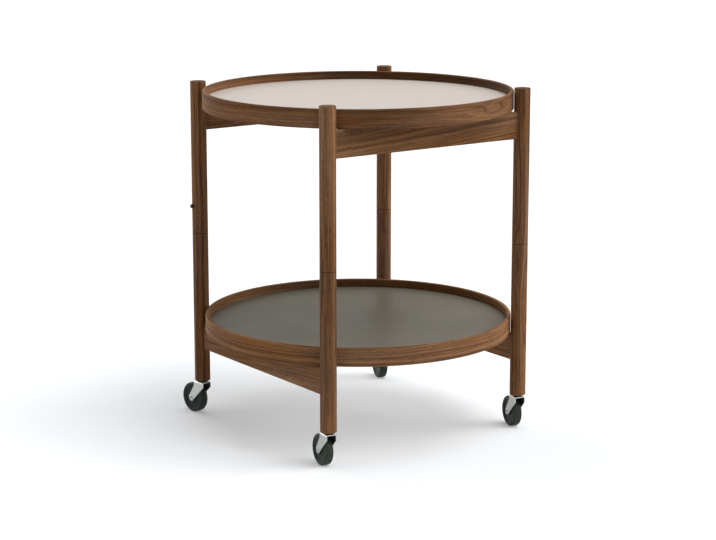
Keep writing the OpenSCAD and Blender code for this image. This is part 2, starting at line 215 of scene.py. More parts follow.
@dataclass(frozen=True)
class OiledWalnut:
    """American black walnut, planed and sanded along the grain, with a matt oil.

    It shows irregular growth rings in warm browns that swirl round a knot here and there, long
    fibres, short dark pores and a soft sheen. The wood's own axes come from the grain attribute:
    along, across and through, in metres from the heart of the log. End grain drinks more oil and
    turns darker, and a rim's inner side gets painted shade, through the same darkening attribute.
    """

    name: str = "oiled walnut"
    ring_mm: float = 5.0
    wander_mm: float = 16.0
    wander_along_mm: float = 240.0
    wander_across_mm: float = 34.0
    fibre_along_mm: float = 60.0
    fibre_mm: float = 1.1
    zone_along_mm: float = 300.0
    zone_mm: float = 55.0
    knot_along_mm: float = 300.0
    knot_across_mm: float = 60.0
    knot_mm: float = 15.0
    knot_reach: float = 0.32  # in cells of the knot pattern
    pore_along_mm: float = 8.0
    pore_mm: float = 0.6  # real ones are 0.2 mm wide, too fine to show
    pore_from: float = 0.57  # where in its pattern a pore starts
    pore_full: float = 0.70
    pore_dark: float = 0.6
    ring_rough: float = 0.62
    ring_share: float = 0.38
    fibre_share: float = 0.3
    zone_share: float = 0.32
    low_warmth: float = 0.88
    high_warmth: float = 1.04
    low_rough: float = 0.54
    high_rough: float = 0.72
    relief: float = 0.25
    relief_mm: float = 0.12
    shine: float = 0.06

    def shade(self, tree: bpy.types.NodeTree) -> bpy.types.Node:
        """Builds the finish's nodes and returns its shader."""
        grain = add_node(tree, "ShaderNodeAttribute", attribute_name="grain").outputs["Vector"]
        slow = add_node(tree, "ShaderNodeVectorMath", {
            0: grain,
            1: stretch(self.wander_along_mm, self.wander_across_mm),
        }, operation="MULTIPLY")
        wander = add_node(tree, "ShaderNodeTexNoise", {
            "Vector": slow.outputs[0], "Scale": 1.0, "Detail": 2.0,
        })
        centred = add_node(tree, "ShaderNodeVectorMath", {
            0: wander.outputs["Color"],
            1: (NOISE_MIDDLE, NOISE_MIDDLE, NOISE_MIDDLE),
        }, operation="SUBTRACT")
        sway = self.wander_mm * MM
        bent = add_node(tree, "ShaderNodeVectorMath", {
            0: centred.outputs[0],
            1: (0.0, sway, sway),
            2: grain,
        }, operation="MULTIPLY_ADD")
        section = add_node(tree, "ShaderNodeVectorMath", {
            0: bent.outputs[0], 1: (0.0, 1.0, 1.0),
        }, operation="MULTIPLY")
        heart = add_node(tree, "ShaderNodeVectorMath", {0: section.outputs[0]}, operation="LENGTH")
        apart = add_node(tree, "ShaderNodeVectorMath", {
            0: grain,
            1: stretch(self.knot_along_mm, self.knot_across_mm),
        }, operation="MULTIPLY")
        knots = add_node(tree, "ShaderNodeTexVoronoi", {"Vector": apart.outputs[0], "Scale": 1.0})
        swell = add_node(tree, "ShaderNodeMapRange", {
            0: knots.outputs["Distance"], 1: 0.0, 2: self.knot_reach, 3: self.knot_mm * MM, 4: 0.0,
        }, interpolation_type="SMOOTHSTEP")
        swirled = add_node(tree, "ShaderNodeMath", {
            0: heart.outputs["Value"], 1: swell.outputs[0],
        }, operation="ADD")
        count = add_node(tree, "ShaderNodeMath", {
            0: swirled.outputs[0], 1: cells(self.ring_mm),
        }, operation="MULTIPLY")
        rings = add_node(tree, "ShaderNodeTexNoise", {
            "W": count.outputs[0], "Scale": 1.0, "Detail": 3.0, "Roughness": self.ring_rough,
        }, noise_dimensions="1D")
        fine = add_node(tree, "ShaderNodeVectorMath", {
            0: grain,
            1: stretch(self.fibre_along_mm, self.fibre_mm),
        }, operation="MULTIPLY")
        fibres = add_node(tree, "ShaderNodeTexNoise", {
            "Vector": fine.outputs[0], "Scale": 1.0, "Detail": 2.0,
        })
        broad = add_node(tree, "ShaderNodeVectorMath", {
            0: grain,
            1: stretch(self.zone_along_mm, self.zone_mm),
        }, operation="MULTIPLY")
        zones = add_node(tree, "ShaderNodeTexNoise", {
            "Vector": broad.outputs[0], "Scale": 1.0, "Detail": 1.0,
        })
        figure = add_node(tree, "ShaderNodeMath", {
            0: rings.outputs[0], 1: self.ring_share,
        }, operation="MULTIPLY")
        figure = add_node(tree, "ShaderNodeMath", {
            0: fibres.outputs[0], 1: self.fibre_share, 2: figure.outputs[0],
        }, operation="MULTIPLY_ADD")
        figure = add_node(tree, "ShaderNodeMath", {
            0: zones.outputs[0], 1: self.zone_share, 2: figure.outputs[0],
        }, operation="MULTIPLY_ADD")
        tone = add_node(tree, "ShaderNodeValToRGB", {0: figure.outputs[0]}, stops=[
            (0.34, "#432b1c"), (0.44, "#5f4028"), (0.51, "#775030"), (0.59, "#8f643e"), (0.70, "#a6774c"),
        ])
        short = add_node(tree, "ShaderNodeVectorMath", {
            0: grain,
            1: stretch(self.pore_along_mm, self.pore_mm),
        }, operation="MULTIPLY")
        pits = add_node(tree, "ShaderNodeTexNoise", {
            "Vector": short.outputs[0], "Scale": 1.0, "Detail": 1.0,
        })
        pores = add_node(tree, "ShaderNodeMapRange", {
            0: pits.outputs[0], 1: self.pore_from, 2: self.pore_full, 3: 0.0, 4: self.pore_dark,
        })
        warmth = add_node(tree, "ShaderNodeMapRange", {
            0: wander.outputs[0], 1: NOISE_LOW, 2: NOISE_HIGH, 3: self.low_warmth, 4: self.high_warmth,
        })
        warmed = add_node(tree, "ShaderNodeHueSaturation", {
            "Saturation": warmth.outputs[0], "Color": tone.outputs[0],
        })
        pored = add_node(tree, "ShaderNodeMixRGB", {
            0: pores.outputs[0], 1: warmed.outputs[0], 2: linear("#331d10"),
        })
        # mixes in dark brown: oil on end grain, and painted shade on a rim's inner side
        soak_and_shade = add_node(tree, "ShaderNodeAttribute", attribute_name="soak_and_shade")
        colour = add_node(tree, "ShaderNodeMixRGB", {
            0: soak_and_shade.outputs["Fac"], 1: pored.outputs[0], 2: linear("#1f110a"),
        })
        sheen = add_node(tree, "ShaderNodeMapRange", {
            0: fibres.outputs[0], 1: NOISE_LOW, 2: NOISE_HIGH, 3: self.low_rough, 4: self.high_rough,
        })
        height = add_node(tree, "ShaderNodeMath", {
            0: fibres.outputs[0], 1: pores.outputs[0],
        }, operation="SUBTRACT")
        relief = add_node(tree, "ShaderNodeBump", {
            "Strength": self.relief, "Distance": self.relief_mm * MM, "Height": height.outputs[0],
        })
        return add_node(tree, "ShaderNodeBsdfPrincipled", {
            "Base Color": colour.outputs[0], "Roughness": sheen.outputs[0],
            "Normal": relief.outputs[0], "Specular IOR Level": self.shine,
        })


@dataclass(frozen=True)
class Laminate:
    """High-pressure laminate, pressed against a fine matt sheet.

    It gives an even colour with a faint cloudiness, a fine pebble and a soft, blurred shine.
    """

    name: str
    colour: str
    cloud: str
    low_rough: float
    high_rough: float
    cloud_mm: float = 70.0
    pebble_mm: float = 1.2  # the real pebble is 0.2 mm, too fine to show
    pebble_share: float = 0.35
    pebble_shift: float = -0.18  # so that the pebble adds as much as it takes away
    relief: float = 0.06
    relief_mm: float = 0.02
    shine: float = 0.09

    def shade(self, tree: bpy.types.NodeTree) -> bpy.types.Node:
        """Builds the finish's nodes and returns its shader."""
        place = add_node(tree, "ShaderNodeTexCoord").outputs["Object"]
        clouds = add_node(tree, "ShaderNodeTexNoise", {
            "Vector": place, "Scale": cells(self.cloud_mm), "Detail": 3.0,
        })
        pebble = add_node(tree, "ShaderNodeTexNoise", {
            "Vector": place, "Scale": cells(self.pebble_mm), "Detail": 1.0,
        })
        blend = add_node(tree, "ShaderNodeMath", {
            0: pebble.outputs[0], 1: self.pebble_share, 2: self.pebble_shift,
        }, operation="MULTIPLY_ADD")
        share = add_node(tree, "ShaderNodeMath", {
            0: clouds.outputs[0], 1: blend.outputs[0],
        }, operation="ADD", use_clamp=True)
        colour = add_node(tree, "ShaderNodeMixRGB", {
            0: share.outputs[0], 1: linear(self.colour), 2: linear(self.cloud),
        })
        rough = add_node(tree, "ShaderNodeMapRange", {
            0: clouds.outputs[0], 1: NOISE_LOW, 2: NOISE_HIGH, 3: self.low_rough, 4: self.high_rough,
        })
        relief = add_node(tree, "ShaderNodeBump", {
            "Strength": self.relief, "Distance": self.relief_mm * MM, "Height": pebble.outputs[0],
        })
        return add_node(tree, "ShaderNodeBsdfPrincipled", {
            "Base Color": colour.outputs[0], "Roughness": rough.outputs[0],
            "Normal": relief.outputs[0], "Specular IOR Level": self.shine,
        })


@dataclass(frozen=True)
class BirchPlywood:
    """Birch plywood: pale rotary-cut veneers with faint flecks, seen only in the board's gap."""

    name: str = "birch plywood"
    fleck_along_mm: float = 30.0
    fleck_mm: float = 2.5
    rough: float = 0.6
    relief: float = 0.2
    relief_mm: float = 0.05

    def shade(self, tree: bpy.types.NodeTree) -> bpy.types.Node:
        """Builds the finish's nodes and returns its shader."""
        place = add_node(tree, "ShaderNodeTexCoord").outputs["Object"]
        drawn = add_node(tree, "ShaderNodeVectorMath", {
            0: place, 1: stretch(self.fleck_along_mm, self.fleck_mm),
        }, operation="MULTIPLY")
        flecks = add_node(tree, "ShaderNodeTexNoise", {
            "Vector": drawn.outputs[0], "Scale": 1.0, "Detail": 2.0,
        })
        tone = add_node(tree, "ShaderNodeValToRGB", {0: flecks.outputs[0]}, stops=[
            (0.35, "#a98a63"), (0.65, "#c8ab82"),
        ])
        relief = add_node(tree, "ShaderNodeBump", {
            "Strength": self.relief, "Distance": self.relief_mm * MM, "Height": flecks.outputs[0],
        })
        return add_node(tree, "ShaderNodeBsdfPrincipled", {
            "Base Color": tone.outputs[0], "Roughness": self.rough, "Normal": relief.outputs[0],
        })


@dataclass(frozen=True)
class ZincPlate:
    """Bright zinc on pressed steel sheet.

    It gives a light grey satin metal with a soft mottle from the plating bath and fine marks
    from the press. Faces that look in at the wheel get painted shade, dark grey, for the shadow there.
    """

    name: str = "zinc-plated pressed steel"
    mottle_mm: float = 3.0
    scuff_mm: float = 0.5
    low_rough: float = 0.36
    high_rough: float = 0.46
    relief: float = 0.06
    relief_mm: float = 0.02

    def shade(self, tree: bpy.types.NodeTree) -> bpy.types.Node:
        """Builds the finish's nodes and returns its shader."""
        place = add_node(tree, "ShaderNodeTexCoord").outputs["Object"]
        mottle = add_node(tree, "ShaderNodeTexNoise", {
            "Vector": place, "Scale": cells(self.mottle_mm), "Detail": 2.0,
        })
        scuffs = add_node(tree, "ShaderNodeTexNoise", {
            "Vector": place, "Scale": cells(self.scuff_mm), "Detail": 2.0,
        })
        tone = add_node(tree, "ShaderNodeValToRGB", {0: mottle.outputs[0]}, stops=[
            (0.35, "#b2b5b1"), (0.5, "#babdb8"), (0.65, "#c1c3be"),
        ])
        # painted shade: faces of the fork that look in at the wheel turn dark grey
        greased = add_node(tree, "ShaderNodeAttribute", attribute_name="greased")
        colour = add_node(tree, "ShaderNodeMixRGB", {
            0: greased.outputs["Fac"], 1: tone.outputs[0], 2: linear("#2c2f2c"),
        })
        rough = add_node(tree, "ShaderNodeMapRange", {
            0: scuffs.outputs[0], 1: NOISE_LOW, 2: NOISE_HIGH, 3: self.low_rough, 4: self.high_rough,
        })
        relief = add_node(tree, "ShaderNodeBump", {
            "Strength": self.relief, "Distance": self.relief_mm * MM, "Height": scuffs.outputs[0],
        })
        return add_node(tree, "ShaderNodeBsdfPrincipled", {
            "Base Color": colour.outputs[0], "Metallic": 1.0, "Roughness": rough.outputs[0],
            "Normal": relief.outputs[0],
        })


@dataclass(frozen=True)
class TurnedSteel:
    """Plain steel turned on a lathe: a grey metal with fine rings from the tool."""

    name: str
    dull: str
    bright: str
    streak_mm: float = 8.0
    ring_mm: float = 0.5
    low_rough: float = 0.25
    high_rough: float = 0.4
    relief: float = 0.15
    relief_mm: float = 0.03

    def shade(self, tree: bpy.types.NodeTree) -> bpy.types.Node:
        """Builds the finish's nodes and returns its shader."""
        place = add_node(tree, "ShaderNodeTexCoord").outputs["Object"]
        drawn = add_node(tree, "ShaderNodeVectorMath", {
            0: place, 1: (cells(self.streak_mm), cells(self.streak_mm), cells(self.ring_mm)),
        }, operation="MULTIPLY")
        rings = add_node(tree, "ShaderNodeTexNoise", {
            "Vector": drawn.outputs[0], "Scale": 1.0, "Detail": 2.0,
        })
        tone = add_node(tree, "ShaderNodeValToRGB", {0: rings.outputs[0]}, stops=[
            (0.35, self.dull), (0.65, self.bright),
        ])
        rough = add_node(tree, "ShaderNodeMapRange", {
            0: rings.outputs[0], 1: NOISE_LOW, 2: NOISE_HIGH, 3: self.low_rough, 4: self.high_rough,
        })
        relief = add_node(tree, "ShaderNodeBump", {
            "Strength": self.relief, "Distance": self.relief_mm * MM, "Height": rings.outputs[0],
        })
        return add_node(tree, "ShaderNodeBsdfPrincipled", {
            "Base Color": tone.outputs[0], "Metallic": 1.0, "Roughness": rough.outputs[0],
            "Normal": relief.outputs[0],
        })


@dataclass(frozen=True)
class MouldedBlack:
    """Black plastic or rubber as it leaves the mould.

    It gives a deep green-black with a slight bloom, a fine spark-eroded grain and a satin shine.
    """

    name: str
    colour: str
    bloom: str
    low_rough: float
    high_rough: float
    grain_mm: float
    relief_mm: float
    shine: float
    bloom_mm: float = 9.0
    bloom_from: float = 0.35
    bloom_full: float = 0.65
    relief: float = 0.3

    def shade(self, tree: bpy.types.NodeTree) -> bpy.types.Node:
        """Builds the finish's nodes and returns its shader."""
        place = add_node(tree, "ShaderNodeTexCoord").outputs["Object"]
        cloud = add_node(tree, "ShaderNodeTexNoise", {
            "Vector": place, "Scale": cells(self.bloom_mm), "Detail": 3.0,
        })
        grit = add_node(tree, "ShaderNodeTexNoise", {
            "Vector": place, "Scale": cells(self.grain_mm), "Detail": 2.0,
        })
        share = add_node(tree, "ShaderNodeMapRange", {
            0: cloud.outputs[0], 1: self.bloom_from, 2: self.bloom_full,
        })
        colour = add_node(tree, "ShaderNodeMixRGB", {
            0: share.outputs[0], 1: linear(self.colour), 2: linear(self.bloom),
        })
        rough = add_node(tree, "ShaderNodeMapRange", {
            0: grit.outputs[0], 1: NOISE_LOW, 2: NOISE_HIGH, 3: self.low_rough, 4: self.high_rough,
        })
        relief = add_node(tree, "ShaderNodeBump", {
            "Strength": self.relief, "Distance": self.relief_mm * MM, "Height": grit.outputs[0],
        })
        return add_node(tree, "ShaderNodeBsdfPrincipled", {
            "Base Color": colour.outputs[0], "Roughness": rough.outputs[0],
            "Normal": relief.outputs[0], "Specular IOR Level": self.shine,
        })


WALNUT = OiledWalnut()
LAMINATES = {
    Sheet.PALE: Laminate(
        "pale warm grey laminate", "#c6bdb5", "#c4bab2", low_rough=0.40, high_rough=0.46,
    ),
    Sheet.DARK: Laminate(
        "dark warm grey laminate", "#696457", "#666154", low_rough=0.42, high_rough=0.48,
    ),
}
PLYWOOD = BirchPlywood()
ZINC = ZincPlate()
STEEL = TurnedSteel("turned steel", "#85888a", "#a4a6a8")
RIVET = TurnedSteel("rolled rivet steel", "#b4b6b5", "#cccecc")
RUBBER = MouldedBlack(
    "black tyre rubber", "#293129", "#353d35", low_rough=0.50, high_rough=0.64,
    grain_mm=0.6, relief_mm=0.05, shine=0.16,
)
NYLON = MouldedBlack(
    "moulded black nylon", "#121612", "#181d18", low_rough=0.44, high_rough=0.56,
    grain_mm=0.5, relief_mm=0.03, shine=0.2,
)
HUB_NYLON = MouldedBlack(
    "bloomed black nylon", "#1f261f", "#282f28", low_rough=0.44, high_rough=0.56,
    grain_mm=0.5, relief_mm=0.03, shine=0.16,
)
STAINED_PEG = MouldedBlack(
    "dark stained peg", "#2f2119", "#3d2b20", low_rough=0.40, high_rough=0.52,
    grain_mm=0.8, relief_mm=0.05, shine=0.2,
)


# ---- the wood's own axes


class Grain(Protocol):
    """How the wood's own axes lie in a piece."""

    def at(self, point: Vector, face: BMFace) -> Vector:
        """Gives along, across and through at a point of a face, in metres."""

    def soak_and_shade(self, face: BMFace) -> float:
        """Says how far a face is darkened, from 0 to 1: by oil on end grain, and by painted shade."""


@dataclass(frozen=True)
class StraightGrain:
    """Fibres that run straight through a sawn or turned piece."""

    along: Vector
    across: Vector
    start: Vector
    end_soak: float = 0.5

    def at(self, point: Vector, face: BMFace) -> Vector:
        """Gives along, across and through at a point of a face, in metres."""
        through = self.along.cross(self.across)
        return self.start + Vector((point.dot(self.along), point.dot(self.across), point.dot(through)))

    def soak_and_shade(self, face: BMFace) -> float:
        """Says how far oil darkens a face: end grain drinks the most."""
        return self.end_soak if abs(face.normal.dot(self.along)) > END_GRAIN else 0.0


@dataclass(frozen=True)
class BentGrain:
    """Fibres that follow a bent band round the Z axis, from its joint to its joint.

    The band's inner side gets painted shade, darkest round one side of the tray and none on
    the other side.
    """

    radius: float
    joint_angle: float
    start: Vector
    inner_painted_shade: float
    # where round the rim, from its joint, the painted shade on the inner side is darkest
    shade_turn: float = math.radians(150)
    shade_edge: float = 1.5  # how quickly the painted shade fades round the rim

    def at(self, point: Vector, face: BMFace) -> Vector:
        """Gives along, across and through at a point of a face, in metres."""
        middle = face.calc_center_median()
        turn = (math.atan2(middle.y, middle.x) - self.joint_angle) % math.tau
        step = math.atan2(point.y, point.x) - math.atan2(middle.y, middle.x)
        step = (step + math.pi) % math.tau - math.pi
        outwards = math.hypot(point.x, point.y) - self.radius
        return self.start + Vector(((turn + step) * self.radius, point.z, outwards))

    def soak_and_shade(self, face: BMFace) -> float:
        """Says how far a face is darkened: painted shade on the rim's inner side, and none elsewhere."""
        middle = face.calc_center_median()
        outwards = (face.normal.x * middle.x + face.normal.y * middle.y) / math.hypot(middle.x, middle.y)
        if outwards > -STRAIGHT_IN:
            return 0.0
        turn = math.atan2(middle.y, middle.x) - self.joint_angle
        return self.inner_painted_shade * min(max(self.shade_edge * math.cos(turn - self.shade_turn), 0.0), 1.0)


@dataclass(frozen=True)
class Timber:
    """The stack of walnut, from which each part's board is picked for its figure."""

    picks: dict[str, int]

    def board(self, part: str) -> random.Random:
        """Gives what decides where a part lies in its board: the same in every run."""
        return random.Random(f"{part} {self.picks[part]}")


def lay_grain(shape: BMesh, grain: Grain) -> None:
    """Writes the wood's own axes, and how dark each face turns from oil and painted shade, into a shape.

    Args:
        shape: the finished shape.
        grain: how its fibres run.
    """
    axes = shape.loops.layers.float_vector.new("grain")
    soak_and_shade_layer = shape.loops.layers.float.new("soak_and_shade")
    shape.normal_update()
    for face in shape.faces:
        share = grain.soak_and_shade(face)
        for loop in face.loops:
            loop[axes] = grain.at(loop.vert.co, face)
            loop[soak_and_shade_layer] = share


# ---- shapes


def turned(profile: list[ProfilePoint], steps: int = TURN_STEPS, segments: int = 4) -> BMesh:
    """Turns a closed half section about the Z axis.

    Args:
        profile: the section's corners as radius, height and rounding, in millimetres.
        steps: flats round the turn.
        segments: flats in each rounding.

    Returns:
        A closed mesh in metres.
    """
    shape = bmesh.new()
    corners = [shape.verts.new((r * MM, 0, z * MM)) for r, z, _ in profile]
    shape.faces.new(corners)
    for corner, (_, _, rounding) in zip(corners, profile):
        if rounding:
            bmesh.ops.bevel(
                shape, geom=[corner], offset=rounding * MM, affect="VERTICES",
                segments=segments, profile=0.5, material=-1,
            )
    bmesh.ops.delete(shape, geom=shape.faces[:], context="FACES_ONLY")
    on_axis = [e for e in shape.edges if all(abs(v.co.x) < ON_AXIS for v in e.verts)]
    bmesh.ops.delete(shape, geom=on_axis, context="EDGES")
    bmesh.ops.spin(
        shape, geom=shape.verts[:] + shape.edges[:], cent=(0, 0, 0), axis=(0, 0, 1),
        dvec=(0, 0, 0), angle=math.tau, steps=steps, use_merge=True,
    )
    bmesh.ops.remove_doubles(shape, verts=shape.verts[:], dist=SAME_POINT)
    bmesh.ops.recalc_face_normals(shape, faces=shape.faces[:])
    return shape


def both_sides(side: list[ProfilePoint]) -> list[ProfilePoint]:
    """Completes the lower half of a section with its mirror image above Z = 0."""
    return side + [(r, -z, rounding) for r, z, rounding in reversed(side)]


def planed(length: float, thickness: float, height: float, edge_r: float) -> BMesh:
    """Makes a board along X with rounded long edges, centred on the origin.

    Args:
        length: its size along X, in millimetres.
        thickness: its size along Y.
        height: its size along Z.
        edge_r: rounding of its four long edges.

    Returns:
        A closed mesh in metres.
    """
    shape = bmesh.new()
    bmesh.ops.create_cube(shape, size=1.0)
    bmesh.ops.scale(shape, vec=(length * MM, thickness * MM, height * MM), verts=shape.verts[:])
    long_edges = [e for e in shape.edges if abs((e.verts[0].co - e.verts[1].co).x) > thickness * MM]
    bmesh.ops.bevel(
        shape, geom=long_edges, offset=edge_r * MM, affect="EDGES",
        segments=4, profile=0.5, material=-1,
    )
    return shape


def merged_copy(node: str, flat_angle: float = math.radians(0.4)) -> BMesh:
    """Copies a CAD node and joins its loose triangles to whole faces.

    Args:
        node: the CAD node.
        flat_angle: faces that differ by less than this become one.

    Returns:
        A closed mesh in metres, in the node's own place.
    """
    shape = bmesh.new()
    shape.from_mesh(frame["nodes"][node].data)
    bmesh.ops.remove_doubles(shape, verts=shape.verts[:], dist=CAD_WELD)
    bmesh.ops.dissolve_limit(
        shape, angle_limit=flat_angle, verts=shape.verts[:], edges=shape.edges[:],
    )
    return shape


def middle_of(node: str) -> Vector:
    """Gives the middle of a CAD node's box, in metres."""
    low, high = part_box(node)
    return (low + high) / 2


def foot_of(node: str) -> Matrix:
    """Gives the place on the axis of an upright round CAD node, at its bottom."""
    middle = middle_of(node)
    return Matrix.Translation((middle.x, middle.y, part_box(node)[0].z))


def round_size(node: str) -> tuple[float, float]:
    """Gives the radius and height of an upright round CAD node, in millimetres."""
    low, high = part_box(node)
    return (high.x - low.x) / 2 / MM, (high.z - low.z) / MM


# ---- sub-assemblies


class SubAssembly:
    """What the sub-assemblies share: putting a finished piece in its place on its body."""

    def place(
        self,
        shape: BMesh,
        finish: Finish,
        slot: str,
        node: str,
        where: Optional[Matrix] = None,
    ) -> bpy.types.Object:
        """Makes a shape a piece of the object.

        Args:
            shape: the mesh, which is used up.
            finish: the piece's finish.
            slot: the record's material slot; not used.
            node: the CAD node that the piece stands for, and whose body it rides on.
            where: the turn and move to the piece's place, if it isn't there yet.

        Returns:
            The piece.
        """
        if where is not None:
            bmesh.ops.transform(shape, matrix=where, verts=shape.verts[:])
        for face in shape.faces:
            face.smooth = True
        for edge in shape.edges:
            if edge.is_manifold and edge.calc_face_angle() > SHARP_ANGLE:
                edge.smooth = False
        mesh = bpy.data.meshes.new(f"{node}_finished")
        shape.to_mesh(mesh)
        shape.free()
        piece = bpy.data.objects.new(mesh.name, mesh)
        bpy.context.scene.collection.objects.link(piece)
        piece.data.materials.append(material_of(finish))
        even = piece.modifiers.new("Even shading", "WEIGHTED_NORMAL")
        even.keep_sharp = True
        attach(piece, frame["nodes"][node]["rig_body"])
        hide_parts(node)
        log.info("%s: %d faces in %s", piece.name, len(mesh.polygons), finish.name)
        return piece

    def keep(self, node: str, finish: Finish, slot: str) -> None:
        """Gives a CAD node that stays its finish.

        Args:
            node: the CAD node.
            finish: its finish.
            slot: the record's material slot; not used.
        """
        piece = frame["nodes"][node]
        piece.data.materials.clear()
        piece.data.materials.append(material_of(finish))
        log.info("%s: kept in %s", node, finish.name)


@dataclass
class FoldingFrame(SubAssembly):
    """Four split posts with their rails, turning joints and lock pin. Sizes in millimetres."""

    timber: Timber
    foot_r: float = 1.4
    joint_r: float = 0.5
    top_r: float = 1.0
    rail_edge_r: float = 0.9
    washer_bore_r: float = 5.05
    washer_edge_r: float = 0.1
    lock_shank_r: float = 2.0
    lock_head_r: float = 3.3
    lock_head_len: float = 4.6

    def build(self) -> None:
        """Builds and dresses every piece of the frame."""
        for corner in Corner:
            blank = self.blank(corner)
            self.half_post(f"{corner.value}_lower_post", self.foot_r, self.joint_r, blank)
            self.half_post(f"{corner.value}_upper_post", self.joint_r, self.top_r, blank)
            self.washer(corner)
            self.keep(f"{corner.value}_pivot", STEEL, "steel_pin")
        for node in ("front_upper_rail", "back_upper_rail", "left_lower_rail", "right_lower_rail"):
            self.rail(node)
        self.lock_pin()

    def sawn(self, board: random.Random) -> Vector:
        """Picks where in the log a piece was sawn, as along, across and through, in metres."""
        return Vector((
            board.uniform(0, LOG_LENGTH), board.uniform(0.03, 0.06), board.uniform(0.04, 0.09),
        ))

    def blank(self, corner: Corner) -> StraightGrain:
        """Picks the blank of one post, whose figure runs on past the joint.

        Args:
            corner: the post.

        Returns:
            How the fibres run in both its halves.
        """
        board = self.timber.board(corner.value)
        turn = board.uniform(0, math.tau)
        across = Vector((math.cos(turn), math.sin(turn), 0))
        return StraightGrain(Vector((0, 0, 1)), across, self.sawn(board))

    def half_post(self, node: str, low_r: float, high_r: float, blank: StraightGrain) -> None:
        """Turns one half of a post.

        Args:
            node: its CAD node.
            low_r: rounding of its lower edge.
            high_r: rounding of its upper edge.
            blank: how the fibres run in the post's blank.
        """
        radius, length = round_size(node)
        shape = turned([(0, 0, 0), (radius, 0, low_r), (radius, length, high_r), (0, length, 0)])
        bmesh.ops.transform(shape, matrix=foot_of(node), verts=shape.verts[:])
        lay_grain(shape, blank)
        self.place(shape, WALNUT, "walnut", node)

    def rail(self, node: str) -> None:
        """Planes one rail.

        Args:
            node: its CAD node.
        """
        low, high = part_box(node)
        size = (high - low) / MM
        along_x = size.x > size.y
        shape = planed(max(size.x, size.y), min(size.x, size.y), size.z, self.rail_edge_r)
        turn = Matrix.Rotation(0 if along_x else math.pi / 2, 4, "Z")
        bmesh.ops.transform(shape, matrix=Matrix.Translation(middle_of(node)) @ turn, verts=shape.verts[:])
        board = self.timber.board(node)
        slope = board.uniform(0.03, 0.09)
        level = Vector((1, 0, 0)) if along_x else Vector((0, -1, 0))
        along = (level + Vector((0, 0, slope))).normalized()
        across = (Vector((0, 0, 1)) - level * slope).normalized()
        lay_grain(shape, StraightGrain(along, across, self.sawn(board)))
        self.place(shape, WALNUT, "walnut", node)

    def washer(self, corner: Corner) -> None:
        """Makes the thin washer in one post's joint.

        Args:
            corner: the post.
        """
        node = f"{corner.value}_washer"
        radius, thick = round_size(node)
        shape = turned([
            (self.washer_bore_r, 0, 0), (radius, 0, self.washer_edge_r),
            (radius, thick, self.washer_edge_r), (self.washer_bore_r, thick, 0),
        ], segments=2)
        self.place(shape, NYLON, "black_nylon", node, foot_of(node))

    def lock_pin(self) -> None:
        """Turns the pull pin that stops the back left joint, with its domed head outside."""
        low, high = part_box("lock_pin")
        length = (high.x - low.x) / MM
        shoulder = length - self.lock_head_len
        shape = turned([
            (0, 0, 0), (self.lock_shank_r, 0, 0.4), (self.lock_shank_r, shoulder, 0),
            (self.lock_head_r, shoulder, 0.5), (self.lock_head_r, length, 1.8), (0, length, 0),
        ], steps=48, segments=5)
        centre = middle_of("lock_pin")
        outside = Matrix.Translation((high.x, centre.y, centre.z))
        where = outside @ Matrix.Rotation(-math.pi / 2, 4, "Y")
        self.place(shape, STAINED_PEG, "dark_peg", "lock_pin", where)


@dataclass
class RoundTray(SubAssembly):
    """A bent walnut rim round a laminated board. Sizes in millimetres."""

    tier: Tier
    top: Sheet
    bottom: Sheet
    # how dark the painted shade on the rim's inner side gets
    inner_painted_shade: float
    timber: Timber
    rim_t: float = 6.0
    rim_edge_r: float = 2.0
    groove_depth: float = 3.0
    groove_h: float = 1.5
    sheet_edge_r: float = 0.12
    joint_angle: float = math.radians(-135)  # behind the front left post

    def build(self) -> None:
        """Builds and dresses every piece of the tray."""
        self.rim()
        self.sheet(f"{self.tier.value}_top_laminate", self.top)
        self.sheet(f"{self.tier.value}_bottom_laminate", self.bottom)
        self.keep(f"{self.tier.value}_core", PLYWOOD, "board_core")

    def rim(self) -> None:
        """Bends the rim, with rounded edges and the groove that holds the board."""
        node = f"{self.tier.value}_rim"
        outer, height = round_size(node)
        inner = outer - self.rim_t
        low_lip = (height - self.groove_h) / 2
        high_lip = (height + self.groove_h) / 2
        shape = turned([
            (outer, 0, self.rim_edge_r), (outer, height, self.rim_edge_r),
            (inner, height, self.rim_edge_r), (inner, high_lip, 0.2),
            (inner + self.groove_depth, high_lip, 0), (inner + self.groove_depth, low_lip, 0),
            (inner, low_lip, 0.2), (inner, 0, self.rim_edge_r),
        ], steps=RIM_STEPS, segments=5)
        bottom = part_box(node)[0].z
        bmesh.ops.translate(shape, vec=(0, 0, bottom), verts=shape.verts[:])
        board = self.timber.board(node)
        start = Vector((
            board.uniform(0, LOG_LENGTH), board.uniform(0.05, 0.09), board.uniform(0.0, 0.03),
        ))
        start.y -= bottom
        lay_grain(shape, BentGrain(outer * MM, self.joint_angle, start, self.inner_painted_shade))
        self.place(shape, WALNUT, "walnut", node)

    def sheet(self, node: str, sheet: Sheet) -> None:
        """Cuts one of the board's laminate sheets.

        Args:
            node: its CAD node.
            sheet: the stock that it is cut from.
        """
        radius, thick = round_size(node)
        shape = turned([
            (0, 0, 0), (radius, 0, self.sheet_edge_r),
            (radius, thick, self.sheet_edge_r), (0, thick, 0),
        ], steps=RIM_STEPS, segments=2)
        where = Matrix.Translation((0, 0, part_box(node)[0].z))
        self.place(shape, LAMINATES[sheet], sheet.value, node, where)


